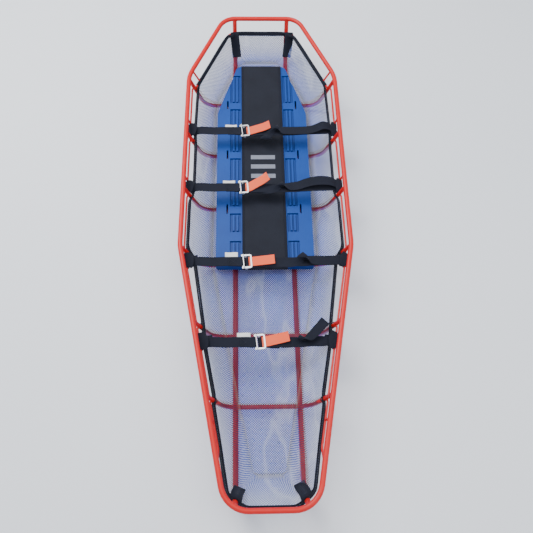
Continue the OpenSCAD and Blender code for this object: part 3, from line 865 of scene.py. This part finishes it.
def outer_face(x, y, f, thick, on_top):
    """The sleeve's outer face at share f of its width: its x and its thickness, with slight lumps on top."""
    from_edge = min(1.0, min(f, 1 - f) / PAD_EDGE)
    rounded = math.sqrt(max(0.0, 1 - (1 - from_edge) ** 2))
    thick = 0.0006 + thick * (0.30 + 0.70 * rounded)
    if on_top:
        v = Vector((x * 16, y * 6, 0))
        thick += 0.0006 * noise.noise(v) + 0.0003 * noise.noise(v * 3.1)
        x *= 1 - 0.006 * (1 + noise.noise(Vector((y * 5, f * 2, 3))))
    return x, thick


def padded_sleeve():
    """Outer face, inner face, and a strip along each edge between them."""
    course = sleeve_course()
    rows, columns = len(course), len(PAD_COLUMNS)
    verts, faces, uv = [], [], []
    for outer in (True, False):
        for c, (y, z, t, (ny, nz)) in enumerate(course):
            for f in PAD_COLUMNS:
                x, thick = -PAD_HALF + 2 * PAD_HALF * f, 0.0
                if outer:
                    x, thick = outer_face(x, y, f, t, nz > 0.5)
                verts.append((x, y + ny * thick, z + nz * thick))
                uv.append((x, c * 0.008))
    inner = rows * columns
    for side, flip in ((0, False), (inner, True)):
        for c in range(rows):
            here, there = side + c * columns, side + (c + 1) % rows * columns
            for k in range(columns - 1):
                q = [here + k, here + k + 1, there + k + 1, there + k]
                faces.append(tuple(q if flip else q[::-1]))
    for c in range(rows):
        here, there = c * columns, (c + 1) % rows * columns
        for k, flip in ((0, False), (columns - 1, True)):
            q = [here + k, there + k, inner + there + k, inner + here + k]
            faces.append(tuple(q if flip else q[::-1]))
    sleeve = mesh("padded_sleeve", verts, faces, SLEEVE, uv)
    smoother = sleeve.modifiers.new("round", "SUBSURF")
    smoother.levels = smoother.render_levels = 1
    finish_piece(sleeve, "board", ["board_sleeve"])


def sleeve_binding():
    """Binding tape sewn along both long edges of the sleeve."""
    wide, steps = 0.010, 40
    tapes = []
    for s in (-1, 1):
        x, start, run = s * (PAD_HALF - 0.006), PAD_Y0 + 0.004, PAD_Y1 - PAD_Y0 - 0.008
        rows = [(x, start + run * i / steps, PAD_TOP - 0.0006, 0, wide) for i in range(steps + 1)]
        tapes.append(ribbon(f"tape_{s}", rows, BLACK, thick=0.0014, across=(1, 0, 0), step=0.02))
    finish_piece(join("sleeve_binding", tapes), "board")


def reflective_marks():
    """Three plain reflective bands across the sleeve."""
    half, tall, pitch, first, thick = 0.050, 0.020, 0.046, 0.262, 0.0012
    top = PAD_TOP + 0.0003
    faces = [(0, 1, 2, 3), (7, 6, 5, 4)] + [(i, 4 + i, 4 + (i + 1) % 4, (i + 1) % 4) for i in range(4)]
    marks = []
    for k in range(3):
        low = first + k * pitch
        outline = [(-half, low), (half, low), (half, low + tall), (-half, low + tall)]
        points = [(x, y, z) for z in (top, top - thick) for x, y in outline]
        marks.append(mesh(f"band_{k}", points, faces, REFLECT, smooth=False))
    finish_piece(join("reflective_marks", marks), "board")


lacing_ties()
head_tie_pair()
toe_patch_pair()
padded_sleeve()
sleeve_binding()
reflective_marks()

# ---------------- places on the straps
joints = {j["name"]: j for j in frame["joints"]}
TILTS = [joints[f"buckle_{n}_tilt"] for n in (1, 2, 3, 4)]
HINGES = [Vector(tilt["pos_m"]) for tilt in TILTS]
YAWS = [math.degrees(math.atan2(tilt["axis"][0], -tilt["axis"][1])) for tilt in TILTS]
# Width and thickness of the webbing, and how far the right strap passes below the hinge bar
WEB, LAYER, WEB_DROP = 0.038, 0.0021, 0.0085
STRAP_STEP = 0.004


def across_at(degrees):
    """The way across a strap that is turned by degrees on the plan."""
    a = math.radians(degrees)
    return (-math.sin(a), math.cos(a), 0)


def at_buckle(i, x, y, z):
    """A point given from buckle i's hinge, along and across the buckle."""
    a = math.radians(YAWS[i])
    h = HINGES[i]
    return (h.x + x * math.cos(a) - y * math.sin(a), h.y + x * math.sin(a) + y * math.cos(a), h.z + z)


def hitch_x(y):
    return rail_x(y) - ROD_IN


def standing_z(i, x):
    """Height of the right strap's standing part at x."""
    a, b = HINGES[i].x + 0.032, hitch_x(STRAP_Y[i]) - 0.012
    return HINGES[i].z - WEB_DROP + (ROD_Z - HINGES[i].z + WEB_DROP) * (x - a) / (b - a)


# ---------------- knots on the side rods
# Length along the rod and reach inwards of each knot, by side, from the head
KNOT_SIZE = {
    -1: [(0.060, 0.040), (0.052, 0.038), (0.062, 0.044), (0.064, 0.046)],
    1: [(0.070, 0.030), (0.066, 0.030), (0.060, 0.030), (0.064, 0.036)],
}


def knot(name, s, y, tall, wide):
    """A girth hitch: two turns round the rod, the bight across the strap and two legs that run into it."""
    turn_r = 0.0085
    slope = (rail_x(y + 0.01) - rail_x(y - 0.01)) / 0.02
    rod = np.array([s * slope, 1, 0]) / math.hypot(slope, 1)
    inn = np.array([-rod[1], rod[0], 0]) * s
    up = np.array([0, 0, 1.0])
    centre = np.array([s * hitch_x(y), y, ROD_Z])
    out = []
    for n, f in enumerate((-1, 1)):
        turn = []
        for t in np.linspace(-150, 150, 13):
            c, d = math.cos(math.radians(t)), math.sin(math.radians(t))
            along = tall / 2 - 0.013 - 0.006 * (1 + c) / 2
            p = centre + inn * (turn_r * -c + 0.001) + up * turn_r * d + rod * f * along
            turn.append((*p, 0, 0.024))
        out.append(ribbon(f"{name}_turn{n}", turn, BLACK, thick=0.0024, across=tuple(rod)))
    band = []
    for t in np.linspace(-1, 1, 11):
        p = centre + inn * (wide * (0.30 - 0.12 * t * t)) + rod * (t * tall / 2)
        p = p + up * (0.0135 - 0.007 * t * t)
        band.append((*p, 12 * t, wide * (0.78 - 0.26 * t * t)))
    out.append(ribbon(f"{name}_bight", band, BLACK, thick=0.0030, across=tuple(inn)))
    for n, f in enumerate((-1, 1)):
        # Reach inwards, place along the rod, height and width of the leg
        rows = [
            (0.010, tall / 2 - 0.008, 0.0, 0.020),
            (wide * 0.55, 0.009, -0.003, 0.026),
            (wide * 0.95, 0.002, -0.001, 0.034),
        ]
        leg = [(*(centre + inn * r + rod * f * along + up * rise), 0, w) for r, along, rise, w in rows]
        out.append(ribbon(f"{name}_leg{n}", leg, BLACK, thick=0.0026, across=tuple(rod)))
    return out


def hitch_knots(s, side):
    parts = []
    for i, y in enumerate(STRAP_Y):
        parts += knot(f"knot_{side}_{i}", s, y, *KNOT_SIZE[s][i])
    finish_piece(join(f"{side}_hitch_knots", parts), "litter", [f"{side}_hitches"])


# ---------------- left straps: knot to hinge bar
# Share of the way to the buckle, offsets across and up, and width
LEFT_RUN = [
    (0, 0, -0.001, 0.031), (0.10, 0, 0.0, 0.036), (0.25, 0.0008, -0.001, WEB),
    (0.5, -0.0006, -0.0022, WEB), (0.75, 0.0004, -0.0016, WEB), (1, 0, 0, WEB),
]
# Round the hinge bar and back, from the hinge: along and up
HINGE_TURN = [
    (-0.014, 0.0023), (-0.006, 0.0031), (0.0, 0.0041), (0.0036, 0.0022), (0.0042, 0.0),
    (0.0034, -0.0024), (0.0, -0.0041), (-0.006, -0.0026), (-0.014, -0.0009),
]


def stitch_box(name, corners, z_of):
    """Lock-stitching: a sewn rectangle with a cross in it, as short raised stitches."""
    pitch = 0.0034
    paths = list(zip(corners, corners[1:] + corners[:1]))
    paths += [(corners[0], corners[2]), (corners[1], corners[3])]
    pts, fs = [], []
    for (ax, ay), (bx, by) in paths:
        length = math.hypot(bx - ax, by - ay)
        n = max(2, int(length / pitch))
        dx, dy = (bx - ax) / length, (by - ay) / length
        for k in range(n):
            f0, f1 = (k + 0.12) / n, (k + 0.88) / n
            k0 = len(pts)
            thread = ((f0, 0.0001, 0.0003), ((f0 + f1) / 2, 0.00055, 0.0005), (f1, 0.0001, 0.0003))
            for f, lift, w in thread:
                cx, cy = ax + (bx - ax) * f, ay + (by - ay) * f
                z, low = z_of(cx), z_of(cx) - 0.0004
                pts += [(cx - dy * w, cy + dx * w, low), (cx, cy, z + lift), (cx + dy * w, cy - dx * w, low)]
            for m in (0, 3):
                a = k0 + m
                fs += [(a, a + 1, a + 4, a + 3), (a + 1, a + 2, a + 5, a + 4), (a + 2, a, a + 3, a + 5)]
            fs += [(k0, k0 + 2, k0 + 1), (k0 + 6, k0 + 7, k0 + 8)]
    return mesh(name, pts, fs, THREAD)


def left_strap(i):
    """Out from its knot, round the hinge bar and back under itself, with a sewn box."""
    n, y, hinge = i + 1, STRAP_Y[i], HINGES[i]
    start = -hitch_x(y) + 0.016
    span = hinge.x - 0.030 - start
    line = []
    for f, dy, dz, w in LEFT_RUN:
        line.append((start + span * f, y + dy, ROD_Z + (hinge.z + 0.0022 - ROD_Z) * f + dz, 0, w))
    line += [(*at_buckle(i, along, 0, rise), 0, WEB) for along, rise in HINGE_TURN]
    line += [(hinge.x - back, y, hinge.z - 0.0003, 0, WEB) for back in (0.034, 0.054)]
    strap = ribbon(f"left_strap_{n}", line, BLACK, thick=LAYER, across=across_at(YAWS[i]), step=STRAP_STEP)
    x0, x1, half = hinge.x - 0.052, hinge.x - 0.018, 0.014
    corners = [(x0, y - half), (x1, y - half), (x1, y + half), (x0, y + half)]

    def strap_top(x):
        return hinge.z + 0.0033 + (ROD_Z - hinge.z) * max(0.0, (hinge.x - 0.03 - x)) / 0.17

    seam = stitch_box(f"seam_{n}", corners, strap_top)
    finish_piece(join(f"left_strap_{n}", [strap, seam]), "litter", [f"left_webbing_{n}"])


# ---------------- right straps: knot to lock bar
# Share of the way to the buckle, and offsets across and up
RIGHT_RUN = [(0.25, 0.0008, -0.0012), (0.5, -0.0008, -0.002), (0.75, 0.0006, -0.0015)]
# Over the lock bar and back, from the hinge: along and up
LOCK_TURN = [
    (0.026, -0.0072), (0.020, -0.0055), (0.013, -0.0043), (0.0095, -0.0062), (0.0088, -0.0085),
    (0.0100, -0.0112), (0.014, -0.0127), (0.022, -0.0112), (0.032, -0.0104),
]


def right_strap(i):
    """From its knot to the lock bar, over it and back. The part beyond the buckle stays with the litter."""
    n, y, hinge = i + 1, STRAP_Y[i], HINGES[i]
    far = hitch_x(y) - 0.014
    near = far - 0.03
    reach = near - (hinge.x + 0.07)
    line = [(far, y, ROD_Z - 0.001, 0, 0.032), (near, y, standing_z(i, near), 0, WEB)]
    for f, dy, dz in RIGHT_RUN:
        x = near - reach * f
        line.append((x, y + dy, standing_z(i, x) + dz, 0, WEB))
    line.append((hinge.x + 0.070, y, hinge.z - WEB_DROP + 0.0022, 0, WEB))
    line.append((hinge.x + 0.045, y, hinge.z - WEB_DROP + 0.0013, 0, WEB))
    line += [(*at_buckle(i, along, 0, rise), 0, WEB) for along, rise in LOCK_TURN]
    line.append((hinge.x + 0.055, y - 0.001, hinge.z - 0.0100, 0, WEB))
    line.append((hinge.x + 0.085, y - 0.002, hinge.z - 0.0096, 0, WEB))
    strap = ribbon(f"right_strap_{n}", line, BLACK, thick=LAYER, across=across_at(YAWS[i]), step=STRAP_STEP)
    finish_piece(strap, None, [f"right_webbing_{n}", f"webbing_fold_{n}"])
    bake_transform(strap)


# ---------------- free tails
# Each tail's route: x, then offsets from the strap across and up, roll in degrees and width
TAIL_ROUTES = [
    [
        (-0.010, -0.006, -0.0050, 0, 0.036), (0.006, -0.014, -0.003, 8, 0.034),
        (0.022, -0.018, 0.001, 25, 0.030), (0.038, -0.008, 0.008, 70, 0.026),
        (0.052, 0.002, 0.012, 105, 0.026), (0.066, 0.003, 0.008, 145, 0.032),
        (0.084, 0.001, 0.003, 178, 0.037), (0.130, 0.0, 0.0012, 180, WEB),
        (0.190, 0.001, 0.0015, 181, WEB), (0.222, 0.005, 0.010, 186, 0.037),
        (0.246, 0.009, 0.020, 190, 0.036), (0.266, 0.007, 0.016, 184, 0.034),
        (0.284, 0.002, 0.004, 180, 0.030),
    ],
    [
        (-0.005, -0.004, -0.0050, 0, 0.036), (0.020, -0.008, -0.002, 6, 0.034),
        (0.048, -0.006, 0.004, 40, 0.028), (0.066, 0.001, 0.011, 92, 0.024),
        (0.084, 0.004, 0.007, 150, 0.030), (0.104, 0.003, 0.002, 180, 0.036),
        (0.135, 0.005, 0.004, 182, WEB), (0.170, 0.012, 0.013, 186, WEB),
        (0.215, 0.015, 0.021, 188, WEB), (0.258, 0.013, 0.018, 186, 0.037),
        (0.284, 0.006, 0.008, 182, 0.034), (0.298, 0.001, 0.002, 180, 0.030),
    ],
    [
        (0.020, -0.002, -0.0050, 0, 0.036), (0.060, -0.003, -0.004, 0, WEB),
        (0.100, -0.004, 0.000, 12, 0.036), (0.124, -0.002, 0.007, 50, 0.032),
        (0.140, 0.006, 0.014, 100, 0.032), (0.156, 0.007, 0.010, 140, 0.034),
        (0.176, 0.002, 0.003, 176, 0.037), (0.210, 0.0, 0.0012, 180, WEB),
        (0.260, 0.0, 0.0014, 180, WEB), (0.292, 0.0, 0.003, 180, 0.036),
    ],
    [
        (0.050, -0.002, -0.0050, 0, 0.036), (0.084, -0.003, -0.002, 6, 0.034),
        (0.102, 0.0, 0.004, 40, 0.028), (0.118, 0.004, 0.010, 85, 0.026),
        (0.132, 0.008, 0.010, 120, 0.030), (0.150, 0.014, 0.008, 160, 0.036),
        (0.172, 0.034, 0.012, 176, WEB), (0.194, 0.056, 0.018, 180, WEB),
        (0.206, 0.068, 0.020, 182, WEB),
    ],
]
# Folds that stand out of each tail: place, offsets, width, height and lean
EARS = [
    [(0.050, 0.000, 0.006, 0.040, 0.028, 0.010), (0.012, -0.036, -0.002, 0.050, 0.022, 0.0)],
    [(0.064, 0.002, 0.006, 0.034, 0.022, 0.008)],
    [(0.136, 0.004, 0.005, 0.060, 0.032, 0.004)],
    [(0.118, 0.004, 0.005, 0.034, 0.020, -0.004)],
]


def dog_ear(name, x, y, z, wide, tall, lean):
    """A triangle of webbing where the tail turns over on itself: two layers and a round crease."""
    thick, n = 0.0044, 9
    pts = []
    for layer in (1, -1):
        for r in range(n):
            f = r / (n - 1)
            for c in range(n):
                g = c / (n - 1) - 0.5
                edge = min(1.0, 6 * min(0.5 - abs(g), 1 - f, f + 0.2) + 0.25)
                px = x + g * wide * (1 - 0.93 * f) + lean * f
                crease = 0.006 * math.sin(math.pi * min(f * 1.1, 1))
                pts.append((px, y + tall * f, z + crease + layer * thick / 2 * math.sqrt(edge)))
    last = n * (n - 1)
    rim = list(range(n)) + [r * n + n - 1 for r in range(1, n)]
    rim += [last + c for c in range(n - 2, -1, -1)] + [r * n for r in range(n - 2, 0, -1)]
    faces = []
    for start in (0, n * n):
        for r in range(n - 1):
            for c in range(n - 1):
                a = start + r * n + c
                q = (a, a + 1, a + n + 1, a + n)
                faces.append(q[::-1] if start else q)
    faces += [(a, n * n + a, n * n + b, b) for a, b in zip(rim, rim[1:] + rim[:1])]
    return mesh(name, pts, faces, BLACK, [(px, py) for px, py, _ in pts])


def strap_tail(i):
    """The free tail, laid back over the standing part with the folds it was left in."""
    n, y = i + 1, STRAP_Y[i]
    route = [(x, y + dy, standing_z(i, x) + 0.0024 + dz, roll, w) for x, dy, dz, roll, w in TAIL_ROUTES[i]]
    parts = [ribbon(f"strap_tail_{n}", route, BLACK, thick=LAYER, across=(0, 1, 0), step=STRAP_STEP)]
    for x, dy, dz, wide, tall, lean in EARS[i]:
        parts.append(dog_ear(f"ear_{n}", x, y + dy, standing_z(i, x) + dz, wide, tall, lean))
    finish_piece(join(f"strap_tail_{n}", parts), "litter")


# ---------------- release tabs
# Turn and rise of each tab in degrees, and how far its tip curls up
TAB_YAW, TAB_RISE, TAB_CURL = (6, 20, 0, 6), (10, 12, 5, 6), (0.006, 0.007, 0.001, 0.002)
TAB_START, TAB_RUN, TAB_WIDE = 0.0225, 0.095, 0.0375
# From the hinge, where the tab leaves the frame and may turn and rise
TAB_CLEAR = 0.036


def tab_point(i, d, lower):
    """A row of the tab, d along it from the window, in its lower or upper layer."""
    yaw, rise = math.radians(TAB_YAW[i]), math.tan(math.radians(TAB_RISE[i]))
    x = TAB_START + d
    off = max(0.0, x - TAB_CLEAR)
    curl = TAB_CURL[i] * max(0.0, (off - 0.05) / 0.03) ** 2
    z = -0.0034 + off * rise + curl - (0.0019 if lower else 0)
    return (*at_buckle(i, x - off * (1 - math.cos(yaw)), off * math.tan(yaw), z), 0, TAB_WIDE)


def release_tab(i):
    """Two layers sewn together, passing under the pull bar."""
    n = i + 1
    upper = [tab_point(i, TAB_RUN * f, False) for f in np.linspace(0, 1, 12)]
    tip = list(tab_point(i, TAB_RUN + 0.0012, False))
    tip[2] -= 0.00095
    lower = [tab_point(i, TAB_RUN * f, True) for f in np.linspace(1, 0, 12)]
    across = across_at(YAWS[i] + TAB_YAW[i] * 0.8)
    rows = upper + [tuple(tip)] + lower
    tab = ribbon(f"release_strap_{n}", rows, ORANGE, thick=0.0018, across=across, step=STRAP_STEP)
    finish_piece(tab, f"buckle_{n}", [f"release_tab_{n}"])


# ---------------- blank labels
LABEL_TALL = (0.009, 0.010, 0.018, 0.015)
LABEL_ENDS, LABEL_TUCK, LABEL_T = (0.066, 0.018), 0.004, 0.0006


def blank_label(i):
    """A limp label caught in the left strap's seam."""
    columns, rows = 9, 4
    n, hinge, tall = i + 1, HINGES[i], LABEL_TALL[i]
    x0, x1 = (hinge.x - end for end in LABEL_ENDS)
    seam_y = STRAP_Y[i] + WEB / 2 - LABEL_TUCK
    seam_z = standing_z(i, hinge.x) + WEB_DROP + LABEL_T
    pts = []
    for lift in (0, LABEL_T):
        for c in range(columns):
            for r in range(rows):
                f = r / (rows - 1)
                wave = 0.0012 * math.sin(c * 0.9 + i) * f
                x = x0 + (x1 - x0) * c / (columns - 1)
                pts.append((x, seam_y + (tall + LABEL_TUCK) * f, seam_z + 0.004 * f + wave + lift))
    second = columns * rows
    faces = []
    for c in range(columns - 1):
        for r in range(rows - 1):
            q = [c * rows + r, (c + 1) * rows + r, (c + 1) * rows + r + 1, c * rows + r + 1]
            faces += [tuple(q[::-1]), tuple(second + v for v in q)]
    rim = [c * rows for c in range(columns)] + [(columns - 1) * rows + r for r in (1, 2, 3)]
    rim += [c * rows + 3 for c in range(columns - 2, -1, -1)] + [2, 1]
    faces += [(a, b, second + b, second + a) for a, b in zip(rim, rim[1:] + rim[:1])]
    tag = mesh(f"blank_label_{n}", pts, faces, LABEL)
    finish_piece(tag, "litter", ["strap_labels"] if i == 0 else ())


hitch_knots(-1, "left")
hitch_knots(1, "right")
for i in range(4):
    left_strap(i)
    right_strap(i)
    strap_tail(i)
    release_tab(i)
    blank_label(i)

# ---------------- floor
STAGE, STAGE_Z = 9.0, -0.0005
square = [(-STAGE, -STAGE), (STAGE, -STAGE), (STAGE, STAGE), (-STAGE, STAGE)]
floor = mesh("studio_floor", [(x, y, STAGE_Z) for x, y in square], [(0, 1, 2, 3)], studio_paper())
